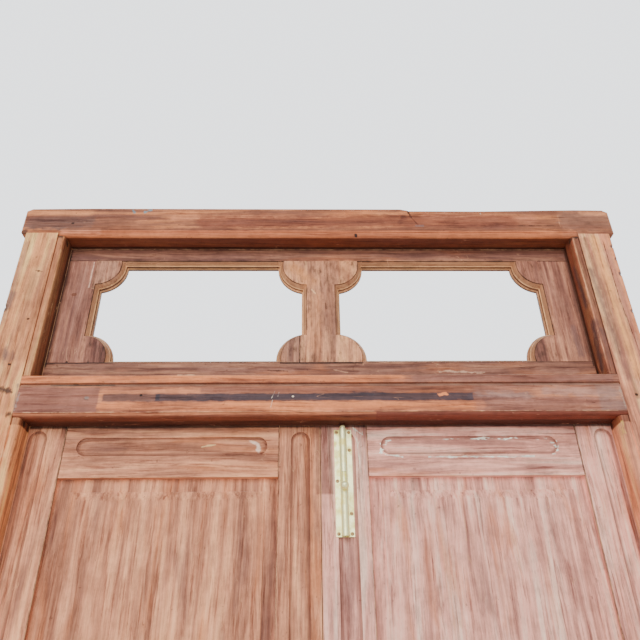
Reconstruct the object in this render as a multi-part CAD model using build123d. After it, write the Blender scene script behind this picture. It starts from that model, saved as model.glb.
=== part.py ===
from build123d import *
import os

# A pair of pivot-hung leaves in a four-piece moulded frame, under a pierced fanlight.
# X runs across the door, +Y from its moulded front to its back, +Z up from the floor.
# The origin is on the floor, midway across the frame and midway through its thickness.
# "Depth" below is measured from the front plane of the frame towards the back.

# Frame
door_height = 2130.0
frame_width = 1300.0        # over the outer sides of the jambs
frame_depth = 115.0
stop_depth = 46.0           # front part of the frame, that the panel and the leaves shut against
jamb_width = 89.0
horn = 10.0                 # lintel and threshold run this far past each jamb
lintel_height = 78.0
lintel_bearing = 70.0       # height of the lintel where it sits on the jambs
transom_drop = 420.0        # top of the lintel to top of the transom rail
transom_height = 86.5
threshold_height = 60.0
side_rebate = 32.0
rail_rebate = 21.5
arris = 3.0                 # easing of the worn outer edges

# Mouldings worked on the inner edges of the frame
jamb_mould = 17.4
lintel_mould = 12.0
transom_mould = 8.5
jamb_round = 8.0            # radius that turns each moulding into the opening
lintel_round = 8.0
transom_round = 6.0
quirk = 2.4                 # width of the V line beside each moulding
quirk_depth = 2.0
band_sink = 0.8             # how far the moulded band lies behind the face
band_height = 17.0          # plain band along the top of the transom rail
groove_height = 7.5
groove_depth = 4.0

# Wear of the lintel: how far its top edge has sunk, at places across the door,
# and how its ends are rounded off: distance from the end, and drop
lintel_wear = [(-505, 0), (183, 0), (198, 3.5), (203, 5.5), (366, 5.5), (505, 2.5)]
lintel_ends = [(75, 1.0), (12, 2.0), (0, 8.5)]
# Nicks in the outer front edges of the jambs: side, drop below the lintel's top, radius
jamb_nicks = [(1, 106, 4.5), (1, 140, 3.0), (1, 181, 5.0), (1, 275, 3.5), (-1, 262, 5.0)]

# Frame joints
tenon_thickness = 24.0
tenon_depth = 14.0          # front plane to front cheek of a tenon
jamb_tenon_width = 36.0
jamb_tenon_length = 42.0
transom_tenon_height = 56.0
transom_tenon_length = 54.0
tenon_fit = 0.2
peg_radius = 5.0
peg_start = 8.0             # front plane to the blind end of a frame peg
peg_fit = 0.1

# Fanlight panel
fan_thickness = 24.0
fan_fit = 1.0               # room round the panel in its rebate
fan_top_show = 34.5         # lintel to the shoulder line of the top rail
fan_bottom_show = 51.5      # transom rail to the shoulder line of the bottom rail
fan_stile_show = 67.0
mullion_width = 61.0
fan_mould = 11.0            # width of the moulding round both lights
fan_fillet = 3.0            # small flat at the back of that moulding
fan_fillet_depth = 17.0
fan_splay_depth = 12.0
fan_quirk = 1.5             # sunk line round the moulding
corner_lobe = 62.0
mullion_lobe = 64.0
block_overlap = 6.0         # inner line of the left stile to the joint of the let-in corner block
block_height = 75.0
mullion_block_overlap = 14.8
mullion_block_height = 73.0
fan_tenon_thickness = 8.0
fan_tenon_length = 32.0
fan_stile_tenon = 56.0
mullion_tenon = 34.0
fan_peg_radius = 3.0
nail_radius = 1.6
nail_head_radius = 4.0
nail_head = 1.2
nail_length = 44.0
nail_edge = 11.0            # edge of the panel to its nails

# Leaves
leaf_thickness = 36.0
leaf_stop_gap = 1.0         # leaf face to the back of the stop
leaf_edge_gap = 3.0         # above and below a leaf
pivot_side_gap = 2.0        # rounded edge of a hinge stile to the jamb
meeting_line = -5.3
meeting_gap = 1.2
hinge_stile_show = 71.0     # edge of the opening to the joint of hinge stile and rails
meeting_joint = 84.0        # centre line to the joint of meeting stile and rails
pivot_radius = 12.0
pivot_length = 22.0
pivot_fit = 0.3
top_rail_height = 119.0
lock_rail_height = 150.0
bottom_rail_height = 139.0
lock_rail_rise = 760.0      # bottom of a leaf to the middle of its lock rail
leaf_tenon_thickness = 12.0
leaf_tenon_length = 52.0
leaf_tenon_margin = 18.0
leaf_peg_radius = 4.0
leaf_peg_length = 27.0
groove = 10.0               # depth of the groove that holds a leaf's panels
panel_room = 1.5
panel_thickness = 12.0
panel_raise = 7.0
panel_margin = 24.0
panel_bevel = 18.0
panel_step = 1.5            # upright step where the raised part meets the margin

# Sunk round-ended fields on the leaves
field_width = 36.0
field_depth = 3.2
field_wall = 1.4
field_slope = 8.0
field_rise = 2.4
field_flat = 0.1
left_field_ends = (24.0, 22.0)      # hinge stile and meeting stile to the ends of the rail's field
right_field_ends = (40.0, 26.0)
hinge_field_inset = 19.0    # edge of the opening to the middle of the hinge stile's field
meeting_field_x = 43.0
hinge_field_drop = 27.0     # top of the leaf to the top of the field
meeting_field_drop = 31.5

# Brass tower bolt on the right leaf
bolt_x = 37.5
bolt_length = 200.0
bolt_width = 33.0
bolt_plate_thickness = 2.5
bolt_drop = 10.6            # transom rail to the top of the bolt's plate
rod_radius = 5.0
rod_length = 170.0
rod_drop = 4.0              # transom rail to the end of the withdrawn rod
rod_fit = 0.3
barrel_wall = 1.5
bolt_travel = 25.0
keeper_fit = 0.8
knob_radius = 7.5
knob_reach = 15.0
knob_stem = 3.0
knob_from_end = 120.0
screw_shank = 1.5
screw_length = 16.0
screw_head_radius = 3.2
screw_head = 1.2
screw_side = 12.0
screw_end = 5.2
screw_second = 40.6

# What follows from these
front = -frame_depth / 2
half_frame = frame_width / 2
half_opening = half_frame - jamb_width
rebate_x = half_opening + side_rebate
lintel_under = door_height - lintel_height
transom_top = door_height - transom_drop
transom_under = transom_top - transom_height
leaf_front = stop_depth + leaf_stop_gap
leaf_back = leaf_front + leaf_thickness
leaf_top = transom_under + rail_rebate - leaf_edge_gap
leaf_bottom = threshold_height - rail_rebate + leaf_edge_gap
pivot_x = rebate_x - pivot_side_gap - leaf_thickness / 2
stile_joint = half_opening - hinge_stile_show
hinge_field_x = half_opening - hinge_field_inset
pivot_depth = leaf_front + leaf_thickness / 2
rod_depth = leaf_front - bolt_plate_thickness - rod_radius - rod_fit


def block(x_range, depth_range, z_range):
    """Box between two places across, two depths and two heights."""
    size = (x_range[1] - x_range[0], depth_range[1] - depth_range[0], z_range[1] - z_range[0])
    corner = Pos(x_range[0], front + depth_range[0], z_range[0])
    return corner * Box(*size, align=(Align.MIN, Align.MIN, Align.MIN))


def facing(outline, depth_range):
    """Prism of an outline drawn as seen from the front, between two depths."""
    back = Plane(origin=(0, front + depth_range[1], 0), x_dir=(1, 0, 0), z_dir=(0, -1, 0))
    return extrude(back * outline, amount=depth_range[1] - depth_range[0], dir=(0, -1, 0))


def upright(radius, x, depth, z_range):
    """Round bar that stands upright."""
    bar = Cylinder(radius, z_range[1] - z_range[0], align=(Align.CENTER, Align.CENTER, Align.MIN))
    return Pos(x, front + depth, z_range[0]) * bar


def through(radius, x, z, depth_range):
    """Round bar that runs from front to back."""
    bar = Cylinder(radius, depth_range[1] - depth_range[0], align=(Align.CENTER, Align.CENTER, Align.MIN))
    return Pos(x, front + depth_range[0], z) * Rot(-90, 0, 0) * bar


def section(width, mould, radius, rebate):
    """Moulded and rebated section: first number from the opening outwards, second the depth."""
    turn = band_sink + radius
    outline = Polygon(
        (mould, 0), (mould - quirk / 2, quirk_depth), (mould - quirk, band_sink), (radius, band_sink),
        (radius, turn), (0, turn), (0, stop_depth), (rebate, stop_depth),
        (rebate, frame_depth), (width, frame_depth), (width, 0), align=None)
    return outline + Pos(radius, turn) * Circle(radius)


def run_up(outline, inner_x, sign, z_range):
    """Upright run of a section, opening side towards the middle of the door."""
    start = Plane(origin=(inner_x, front, z_range[0]), x_dir=(1, 0, 0), z_dir=(0, 0, 1))
    solid = extrude(start * outline, amount=z_range[1] - z_range[0], dir=(0, 0, 1))
    return solid if sign > 0 else mirror(solid, Plane.YZ)


def run_across(outline, edge_z, direction, half_length):
    """Level run of a section; direction is +1 where the wood is above the opening."""
    start = Plane(origin=(-half_length, front, edge_z), x_dir=(0, 0, direction), z_dir=(-direction, 0, 0))
    return extrude(start * outline, amount=2 * half_length, dir=(1, 0, 0))


def sunk_field(x, z, width, height):
    """Cutter for a round-ended field: steep wall outside, gentle slope back up inside."""
    place = Pos(x, z) * Rot(0, 0, 90 if height > width else 0)
    longer, shorter = max(width, height), min(width, height)
    outline = place * SlotOverall(longer, shorter)
    pocket = facing(outline, (leaf_front - 1, leaf_front + field_depth))
    inner = place * SlotOverall(longer - 2 * field_wall, shorter - 2 * field_wall)
    island = facing(inner, (leaf_front + field_depth - field_rise, leaf_front + field_depth))
    top = island.faces().sort_by(Axis.Y)[0]
    return pocket - chamfer(top.edges(), field_slope, field_rise - field_flat, reference=top)


# Frame: lintel, jambs, transom rail, threshold
jamb_line = half_opening + jamb_mould
lintel_seat = door_height - lintel_bearing
bearing_half = half_frame + horn

lintel_section = section(lintel_height, lintel_mould, lintel_round, rail_rebate)
lintel = run_across(lintel_section, lintel_under, 1, jamb_line)
lintel += block((-bearing_half, -jamb_line), (0, frame_depth), (lintel_seat, door_height))
lintel += block((jamb_line, bearing_half), (0, frame_depth), (lintel_seat, door_height))
lintel -= block((-rebate_x, rebate_x), (stop_depth, frame_depth), (lintel_under, lintel_under + rail_rebate))
worn = [(back - bearing_half, door_height - drop) for back, drop in reversed(lintel_ends)]
worn += [(x, door_height - drop) for x, drop in lintel_wear]
worn += [(bearing_half - back, door_height - drop) for back, drop in lintel_ends]
lost = Polygon(*worn, (bearing_half + 1, door_height + 1), (-bearing_half - 1, door_height + 1), align=None)
lintel -= facing(lost, (-1, frame_depth + 1))


def jamb(sign):
    solid = run_up(section(jamb_width, jamb_mould, jamb_round, side_rebate), half_opening, sign,
                   (threshold_height, lintel_seat))
    outer = solid.edges().filter_by(Axis.Z).group_by(Axis.X)[-1 if sign > 0 else 0]
    return fillet(outer, arris)


def frame_tenon(sign, z_range, fit=0.0):
    middle = sign * (rebate_x + (half_frame - rebate_x) / 2)
    half = jamb_tenon_width / 2 + fit
    return block((middle - half, middle + half),
                 (tenon_depth - fit, tenon_depth + tenon_thickness + fit), z_range)


def transom_tenon(sign, fit=0.0):
    middle = transom_under + transom_height / 2
    half = transom_tenon_height / 2 + fit
    ends = sorted((sign * (jamb_line - 1), sign * (jamb_line + transom_tenon_length + fit)))
    return block(ends, (tenon_depth - fit, tenon_depth + tenon_thickness + fit),
                 (middle - half, middle + half))


transom_outline = Polygon(
    (0, 0), (band_height, 0), (band_height + 1, groove_depth), (band_height + groove_height, 0),
    (transom_height - transom_mould, 0), (transom_height - transom_mould, stop_depth), (0, stop_depth),
    align=None)
transom_front = run_across(transom_outline, transom_top, -1, jamb_line)
lower_part = section(transom_height / 2, transom_mould, transom_round, rail_rebate)
transom_rail = transom_front + run_across(lower_part, transom_under, 1, jamb_line)
transom_rail -= block((-jamb_line, jamb_line), (stop_depth, frame_depth + 1), (transom_under, transom_top))
transom_rail += block((-rebate_x, rebate_x), (stop_depth, frame_depth),
                      (transom_under + rail_rebate, transom_top - rail_rebate))
top_edge = transom_rail.edges().filter_by(Axis.X).filter_by_position(
    Axis.Y, front - 0.1, front + 0.1).sort_by(Axis.Z)[-1]
transom_rail = fillet(top_edge, arris)

threshold = block((-bearing_half, bearing_half), (0, frame_depth), (0, threshold_height))
threshold = fillet(threshold.edges().filter_by(Axis.X).group_by(Axis.Z)[-1].sort_by(Axis.Y)[0], arris)
threshold -= block((-rebate_x, rebate_x), (stop_depth, frame_depth + 1),
                   (threshold_height - rail_rebate, threshold_height + 1))

jambs = {}
pegs = []
peg_places = []
for sign in (-1, 1):
    post = jamb(sign)
    crossing = sorted((sign * (half_opening - 1), sign * jamb_line))
    post -= block(crossing, (-1, stop_depth), (lintel_under, lintel_seat + 1))
    post -= block(crossing, (-1, stop_depth), (transom_under, transom_top))
    post += frame_tenon(sign, (lintel_seat, lintel_seat + jamb_tenon_length))
    post += frame_tenon(sign, (threshold_height - jamb_tenon_length, threshold_height))
    post -= transom_tenon(sign, tenon_fit)
    transom_rail += transom_tenon(sign)
    lintel -= frame_tenon(sign, (lintel_seat, lintel_seat + jamb_tenon_length + tenon_fit), tenon_fit)
    threshold -= frame_tenon(sign, (threshold_height - jamb_tenon_length - tenon_fit, threshold_height),
                             tenon_fit)
    middle = sign * (rebate_x + (half_frame - rebate_x) / 2)
    peg_places += [(middle, lintel_seat + jamb_tenon_length / 2),
                   (middle, transom_under + transom_height / 2),
                   (middle, threshold_height - jamb_tenon_length / 2)]
    jambs[sign] = post
for x, z in peg_places:
    hole = through(peg_radius + peg_fit, x, z, (peg_start - peg_fit, frame_depth + 1))
    pegs.append(through(peg_radius, x, z, (peg_start, frame_depth)))
    lintel -= hole
    threshold -= hole
    transom_rail -= hole
    for sign in (-1, 1):
        jambs[sign] -= hole
for side, drop, radius in jamb_nicks:
    jambs[side] -= Pos(side * half_frame, front, door_height - drop) * Sphere(radius)

for sign in (-1, 1):
    socket_end = transom_under + rail_rebate
    transom_rail -= upright(pivot_radius + pivot_fit, sign * pivot_x, pivot_depth,
                            (socket_end - 1, socket_end + pivot_length))
    socket_mouth = threshold_height - rail_rebate
    threshold -= upright(pivot_radius + pivot_fit, sign * pivot_x, pivot_depth,
                         (socket_mouth - pivot_length, socket_mouth + 1))
transom_rail -= upright(rod_radius + keeper_fit, bolt_x, rod_depth,
                        (transom_under - 1, transom_under + bolt_travel + 1))

# Fanlight: one pierced and moulded panel, framed up from rails, stiles and a mullion
fan_range = (stop_depth, stop_depth + fan_thickness)
fan_half = rebate_x - fan_fit
fan_top = lintel_under + rail_rebate - fan_fit
fan_bottom = transom_top - rail_rebate + fan_fit
shoulder_top = lintel_under - fan_top_show
shoulder_bottom = transom_top + fan_bottom_show
light_top = shoulder_top - fan_mould
light_bottom = shoulder_bottom + fan_mould
stile_line = half_opening - fan_stile_show
mullion_line = mullion_width / 2


def light(sign):
    """Outline of one light at its narrowest, with a lobe standing into each corner."""
    inner = mullion_line + fan_mould
    outer = stile_line - fan_mould
    outline = Pos(sign * (inner + outer) / 2, (light_top + light_bottom) / 2) * Rectangle(
        outer - inner, light_top - light_bottom)
    for z in (light_top, light_bottom):
        outline -= Pos(sign * stile_line, z) * Circle(corner_lobe)
        outline -= Pos(sign * mullion_line, z) * Circle(mullion_lobe)
    return outline


panel = block((-fan_half, fan_half), fan_range, (fan_bottom, fan_top))
for sign in (-1, 1):
    sight = light(sign)
    panel -= facing(sight, (fan_range[0] - 1, fan_range[1] + 1))
    panel -= facing(offset(sight, fan_fillet, kind=Kind.INTERSECTION),
                    (fan_range[0] - 1, fan_range[0] + fan_fillet_depth))
panel_face = panel.faces().sort_by(Axis.Y)[0]
rims = [edge for wire in panel_face.inner_wires() for edge in wire.edges()]
panel = chamfer(rims, fan_mould - fan_fillet, fan_splay_depth, reference=panel_face)
for sign in (-1, 1):
    panel -= facing(offset(light(sign), fan_mould, kind=Kind.INTERSECTION),
                    (fan_range[0] - 1, fan_range[0] + fan_quirk))

middle_x = (mullion_line + stile_line) / 2
beyond = (fan_range[0] - 1, fan_range[1] + 1)
top_zone = block((-fan_half, fan_half), beyond, (shoulder_top, fan_top))
bottom_zone = block((-fan_half, fan_half), beyond, (fan_bottom, shoulder_bottom))
for sign in (-1, 1):
    run = sorted((sign * (mullion_line + mullion_lobe), sign * (stile_line - corner_lobe)))
    top_zone += block(run, beyond, (light_top - 1, shoulder_top))
    bottom_zone += block(run, beyond, (shoulder_bottom, light_bottom + 1))
stile_height = (shoulder_bottom, shoulder_top)
corner_zone = block((-stile_line - block_overlap, -middle_x), beyond,
                    (shoulder_top - block_height, shoulder_top)) - top_zone
mullion_zone = block((-middle_x, -mullion_line - mullion_block_overlap), beyond,
                     (shoulder_bottom, shoulder_bottom + mullion_block_height)) - bottom_zone
rails_zone = top_zone + bottom_zone
fan_left = panel & (block((-fan_half, -middle_x), beyond, stile_height) - rails_zone - corner_zone)
fan_right = panel & (block((middle_x, fan_half), beyond, stile_height) - rails_zone)
mullion = panel & (block((-middle_x, middle_x), beyond, stile_height) - rails_zone - mullion_zone)
corner_block = panel & corner_zone
mullion_block = panel & mullion_zone
fan_top_rail = panel & top_zone
fan_bottom_rail = panel & bottom_zone


def fan_tenons(x, width, fit=0.0):
    middle = fan_range[0] + fan_thickness / 2
    cheeks = (middle - fan_tenon_thickness / 2 - fit, middle + fan_tenon_thickness / 2 + fit)
    across = (x - width / 2 - fit, x + width / 2 + fit)
    upper = block(across, cheeks, (shoulder_top, shoulder_top + fan_tenon_length + fit))
    lower = block(across, cheeks, (shoulder_bottom - fan_tenon_length - fit, shoulder_bottom))
    return upper, lower


fan_stile_x = (stile_line + fan_half) / 2
fan_pegs = []
fan_members = []
for x, width, member in ((-fan_stile_x, fan_stile_tenon, fan_left), (fan_stile_x, fan_stile_tenon, fan_right),
                         (0, mullion_tenon, mullion)):
    upper, lower = fan_tenons(x, width)
    member = member + upper + lower
    upper, lower = fan_tenons(x, width, tenon_fit)
    fan_top_rail -= upper
    fan_bottom_rail -= lower
    for z in (shoulder_top + fan_tenon_length / 2, shoulder_bottom - fan_tenon_length / 2):
        peg_range = (fan_range[0] + fan_tenon_thickness / 2, fan_range[1])
        fan_pegs.append(through(fan_peg_radius, x, z, peg_range))
        hole = through(fan_peg_radius + peg_fit, x, z, (peg_range[0] - peg_fit, peg_range[1] + 1))
        member -= hole
        fan_top_rail -= hole
        fan_bottom_rail -= hole
    fan_members.append(member)
fan_left, fan_right, mullion = fan_members

nails = []
nail_top = fan_top - nail_edge
nail_bottom = fan_bottom + nail_edge
nail_middle = (shoulder_top + shoulder_bottom) / 2
nail_spacing = fan_half * 2 / 4.5
nail_places = [(nail_spacing * step, z) for step in (-1.5, -0.5, 0.5, 1.5) for z in (nail_top, nail_bottom)]
nail_places += [(sign * (fan_half - nail_edge), nail_middle) for sign in (-1, 1)]
for x, z in nail_places:
    shank = (fan_range[1] - nail_length, fan_range[1])
    nails.append(through(nail_radius, x, z, shank)
                 + through(nail_head_radius, x, z, (fan_range[1], fan_range[1] + nail_head)))
    hole = through(nail_radius + peg_fit, x, z, (shank[0] - peg_fit, shank[1] + 1))
    fan_top_rail -= hole
    fan_bottom_rail -= hole
    fan_left -= hole
    fan_right -= hole
    lintel -= hole
    transom_rail -= hole
    jambs[-1] -= hole
    jambs[1] -= hole


# Leaves, drawn as the left one and mirrored for the right
def leaf(meeting_edge, field_ends):
    """Pieces of a leaf hung on the left; meeting_edge is how far its free edge is from the centre."""
    depths = (leaf_front, leaf_back)
    outer = -stile_joint
    inner = -meeting_joint
    top_rail_z = (leaf_top - top_rail_height, leaf_top)
    lock_z = (leaf_bottom + lock_rail_rise - lock_rail_height / 2,
              leaf_bottom + lock_rail_rise + lock_rail_height / 2)
    bottom_z = (leaf_bottom, leaf_bottom + bottom_rail_height)
    hinge = block((-pivot_x, outer), depths, (leaf_bottom, leaf_top))
    hinge += upright(leaf_thickness / 2, -pivot_x, pivot_depth, (leaf_bottom, leaf_top))
    reach = pivot_length + leaf_edge_gap - pivot_fit
    hinge += upright(pivot_radius, -pivot_x, pivot_depth, (leaf_bottom - reach, leaf_top + reach))
    meeting = block((inner, meeting_edge), depths, (leaf_bottom, leaf_top))
    middle = leaf_front + leaf_thickness / 2
    cheeks = (middle - leaf_tenon_thickness / 2, middle + leaf_tenon_thickness / 2)
    panel_cheeks = (middle - panel_thickness / 2, middle + panel_thickness / 2)

    rails = {}
    peg_solids = []
    peg_holes = []
    for name, z_range in (("top_rail", top_rail_z), ("lock_rail", lock_z), ("bottom_rail", bottom_z)):
        rail = block((outer, inner), depths, z_range)
        tenon_z = (z_range[0] + leaf_tenon_margin, z_range[1] - leaf_tenon_margin)
        rail += block((outer - leaf_tenon_length, inner + leaf_tenon_length), cheeks, tenon_z)
        mortise = block((outer - leaf_tenon_length - tenon_fit, inner + leaf_tenon_length + tenon_fit),
                        (cheeks[0] - tenon_fit, cheeks[1] + tenon_fit),
                        (tenon_z[0] - tenon_fit, tenon_z[1] + tenon_fit))
        hinge -= mortise
        meeting -= mortise
        for x in (outer - leaf_tenon_length / 2, inner + leaf_tenon_length / 2):
            z = (z_range[0] + z_range[1]) / 2
            peg_solids.append(through(leaf_peg_radius, x, z, (leaf_back - leaf_peg_length, leaf_back)))
            peg_holes.append(through(leaf_peg_radius + peg_fit, x, z,
                                     (leaf_back - leaf_peg_length - peg_fit, leaf_back + 1)))
        rails[name] = rail

    panels = {}
    for name, z_range in (("upper_panel", (lock_z[1], top_rail_z[0])),
                          ("lower_panel", (bottom_z[1], lock_z[0]))):
        slot = block((outer - groove, inner + groove), panel_cheeks,
                     (z_range[0] - groove, z_range[1] + groove))
        room = groove - panel_room
        plate = block((outer - room, inner + room), panel_cheeks, (z_range[0] - room, z_range[1] + room))
        raised = block((outer + panel_margin, inner - panel_margin),
                       (panel_cheeks[0] - panel_raise, panel_cheeks[0]),
                       (z_range[0] + panel_margin, z_range[1] - panel_margin))
        top = raised.faces().sort_by(Axis.Y)[0]
        raised = chamfer(top.edges(), panel_bevel, panel_raise - panel_step, reference=top)
        panels[name] = plate + raised
        hinge -= slot
        meeting -= slot
        rails = {key: rail - slot for key, rail in rails.items()}

    rail_field_z = leaf_top - top_rail_height / 2
    field_range = (outer + field_ends[0], inner - field_ends[1])
    rails["top_rail"] -= sunk_field(sum(field_range) / 2, rail_field_z, field_range[1] - field_range[0],
                                    field_width)
    for solid_x, drop in ((-hinge_field_x, hinge_field_drop), (-meeting_field_x, meeting_field_drop)):
        height = leaf_top - leaf_bottom - 2 * drop
        cutter = sunk_field(solid_x, (leaf_top + leaf_bottom) / 2, field_width, height)
        hinge -= cutter
        meeting -= cutter
    for hole in peg_holes:
        hinge -= hole
        meeting -= hole
        rails = {key: rail - hole for key, rail in rails.items()}
    pieces = {"hinge_stile": hinge, "meeting_stile": meeting}
    pieces.update(rails)
    pieces.update(panels)
    pieces["pegs"] = Compound(children=peg_solids)
    return pieces


left_leaf = leaf(meeting_line - meeting_gap / 2, left_field_ends)
right_leaf = leaf(-meeting_line - meeting_gap / 2, right_field_ends)
right_leaf = {name: mirror(solid, Plane.YZ) for name, solid in right_leaf.items()}

# Tower bolt: plate and barrel in one, screws, and the rod with its knob
plate_top = transom_under - bolt_drop
plate_bottom = plate_top - bolt_length
plate_range = (leaf_front - bolt_plate_thickness, leaf_front)
bolt_plate = block((bolt_x - bolt_width / 2, bolt_x + bolt_width / 2), plate_range, (plate_bottom, plate_top))
bolt_plate += upright(rod_radius + rod_fit + barrel_wall, bolt_x, rod_depth, (plate_bottom, plate_top))
bolt_plate -= block((bolt_x - bolt_width, bolt_x + bolt_width), (leaf_front, leaf_back),
                    (plate_bottom - 1, plate_top + 1))
bolt_plate -= upright(rod_radius + rod_fit, bolt_x, rod_depth, (plate_bottom - 1, plate_top + 1))
rod_top = transom_under - rod_drop
knob_z = rod_top - knob_from_end
slot_half = knob_stem + rod_fit
bolt_plate -= block((bolt_x - slot_half, bolt_x + slot_half), (rod_depth - rod_radius - 4, rod_depth),
                    (knob_z - slot_half, knob_z + bolt_travel + slot_half))

rod = upright(rod_radius, bolt_x, rod_depth, (rod_top - rod_length, rod_top))
rod = fillet(rod.edges().group_by(Axis.Z)[-1], rod_radius * 0.5)
rod += through(knob_stem, bolt_x, knob_z, (rod_depth - knob_reach, rod_depth))
rod += Pos(bolt_x, front + rod_depth - knob_reach, knob_z) * Sphere(knob_radius)

screws = []
screw_places = [(side, z) for side in (-1, 1) for z in (plate_top - screw_end, plate_bottom + screw_end)]
screw_places += [(1, plate_top - screw_second), (1, plate_bottom + screw_second),
                 (-1, (plate_top + plate_bottom) / 2)]
for side, z in screw_places:
    x = bolt_x + side * screw_side
    head = through(screw_head_radius, x, z, (plate_range[0] - screw_head, plate_range[0]))
    head = fillet(head.edges().group_by(Axis.Y)[0], screw_head * 0.6)
    slot = block((x - screw_head_radius, x + screw_head_radius),
                 (plate_range[0] - screw_head - 1, plate_range[0] - screw_head * 0.5), (z - 0.5, z + 0.5))
    shank_end = plate_range[0] + screw_length
    screws.append(head - slot + through(screw_shank, x, z, (plate_range[0], shank_end)))
    hole = through(screw_shank + peg_fit, x, z, (plate_range[0] - 1, shank_end + peg_fit))
    bolt_plate -= hole
    right_leaf["meeting_stile"] -= hole
    right_leaf["top_rail"] -= hole

nodes = {
    "lintel": lintel,
    "left_jamb": jambs[-1],
    "right_jamb": jambs[1],
    "transom_rail": transom_rail,
    "threshold": threshold,
    "frame_pegs": Compound(children=pegs),
    "fanlight_top_rail": fan_top_rail,
    "fanlight_bottom_rail": fan_bottom_rail,
    "fanlight_left_stile": fan_left,
    "fanlight_right_stile": fan_right,
    "fanlight_mullion": mullion,
    "fanlight_corner_block": corner_block,
    "fanlight_mullion_block": mullion_block,
    "fanlight_pegs": Compound(children=fan_pegs),
    "fanlight_nails": Compound(children=nails),
    "bolt_plate": bolt_plate,
    "bolt_screws": Compound(children=screws),
    "bolt_rod": rod,
}
for side, pieces in (("left", left_leaf), ("right", right_leaf)):
    for name, solid in pieces.items():
        nodes[side + "_" + name] = solid

os.makedirs("parts", exist_ok=True)
for name, solid in nodes.items():
    export_step(solid, "parts/" + name + ".step")
print(len(nodes), "nodes written")
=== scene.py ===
# %% [markdown]
# An old hardwood double door in its frame. The measured model is loaded first and stays as it
# is; the work here is its wood, its brass and the traces of use. Every finish is made from
# nodes that read a place on the piece, so the grain can run along each piece of timber, as it
# does in real joinery, and turn where one timber is tenoned into another.

# %% Load the door
import bpy
import math
from mathutils import Matrix, Vector


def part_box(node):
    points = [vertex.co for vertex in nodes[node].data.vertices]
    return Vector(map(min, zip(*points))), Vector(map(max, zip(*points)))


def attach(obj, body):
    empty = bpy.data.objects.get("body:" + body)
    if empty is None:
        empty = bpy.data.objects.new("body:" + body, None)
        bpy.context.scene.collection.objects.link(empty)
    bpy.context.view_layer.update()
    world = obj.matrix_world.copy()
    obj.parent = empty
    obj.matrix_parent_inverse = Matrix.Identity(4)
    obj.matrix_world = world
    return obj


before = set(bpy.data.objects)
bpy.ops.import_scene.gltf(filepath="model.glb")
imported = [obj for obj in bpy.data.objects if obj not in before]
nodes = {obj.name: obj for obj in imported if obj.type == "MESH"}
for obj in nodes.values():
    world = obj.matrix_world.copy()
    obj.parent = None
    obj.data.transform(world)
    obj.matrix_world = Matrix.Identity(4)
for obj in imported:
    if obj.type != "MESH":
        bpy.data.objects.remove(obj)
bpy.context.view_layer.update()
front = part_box("lintel")[0].y
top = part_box("lintel")[1].z
bpy.ops.object.select_all(action="DESELECT")
print("pieces", len(nodes), "front plane", round(front, 4), "top", round(top, 4))

# %% [markdown]
# Marks of wear are placed as a restorer would note them: so far from the middle of the door,
# so far below the top of the lintel, so deep behind the front. One helper turns such a note,
# in millimetres, into a place on the model.

# %% A place on the door
def spot(across, below, behind=0.0):
    return Vector((across / 1000, front + behind / 1000, top - below / 1000))

print("top of the transom rail", spot(0, 420))

# %% [markdown]
# The door is seen from below, standing close in front of it, a little left of the middle. The
# camera is set up first, because it decides how large a scratch or a nail hole has to be to
# tell. It is built from three directions: right, up and forward.

# %% Camera
camera_data = bpy.data.cameras.new("camera")
camera = bpy.data.objects.new("camera", camera_data)
bpy.context.scene.collection.objects.link(camera)
bpy.context.scene.camera = camera
sensor_mm, lens_mm, nearest, upward_shift = 36.0, 36.0, 0.05, 1 / 640
roll, pitch, yaw = -0.01421, 0.5451, 0.0249
eye = spot(-31.5, 976.1, -1117.1)
camera_data.sensor_width = sensor_mm
camera_data.lens = lens_mm
camera_data.shift_y = upward_shift
camera_data.clip_start = nearest

def looking(direction, pitch, yaw):
    x, y, z = direction
    y, z = math.cos(pitch) * y - math.sin(pitch) * z, math.sin(pitch) * y + math.cos(pitch) * z
    x, y = math.cos(yaw) * x + math.sin(yaw) * y, -math.sin(yaw) * x + math.cos(yaw) * y
    return Vector((x, y, z))

side = looking((math.cos(roll), 0, math.sin(roll)), pitch, yaw)
above = looking((-math.sin(roll), 0, math.cos(roll)), pitch, yaw)
ahead = looking((0, 1, 0), pitch, yaw)
turn = Matrix((side, above, -ahead)).transposed().to_4x4()
camera.matrix_world = Matrix.Translation(eye) @ turn
print("camera at", camera.matrix_world.translation)

# %% [markdown]
# A plain pale floor, a pale surround, and one large soft lamp high in front, as an open sky
# lights a thing that stands outdoors: tops are bright, undersides fall off into brown. A weaker
# lamp behind the door keeps its back from going black. The
# surround shows brighter than it lights, so the backdrop is pale and the shade stays deep.

# %% Floor and surround
floor_size, floor_colour = 30, (0.8, 0.8, 0.81, 1)
sky_colour, light_level, seen_level = (0.94, 0.965, 1.0, 1), 0.72, 2.35

bpy.ops.mesh.primitive_plane_add(size=floor_size, location=(0, 0, 0))
floor = bpy.context.active_object
floor.name = "floor"
floor_paint = bpy.data.materials.new("floor_paint")
floor_paint.use_nodes = True
paint = floor_paint.node_tree.nodes["Principled BSDF"]
paint.inputs["Base Color"].default_value = floor_colour
paint.inputs["Roughness"].default_value = 0.9
floor.data.materials.append(floor_paint)

surround = bpy.data.worlds.new("surround")
surround.use_nodes = True
bpy.context.scene.world = surround
sky = surround.node_tree.nodes["Background"]
sky.inputs["Color"].default_value = sky_colour
seen = surround.node_tree.nodes.new("ShaderNodeLightPath")
level = surround.node_tree.nodes.new("ShaderNodeMapRange")
level.inputs["To Min"].default_value, level.inputs["To Max"].default_value = light_level, seen_level
surround.node_tree.links.new(seen.outputs["Is Camera Ray"], level.inputs["Value"])
surround.node_tree.links.new(level.outputs[0], sky.inputs["Strength"])

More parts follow.
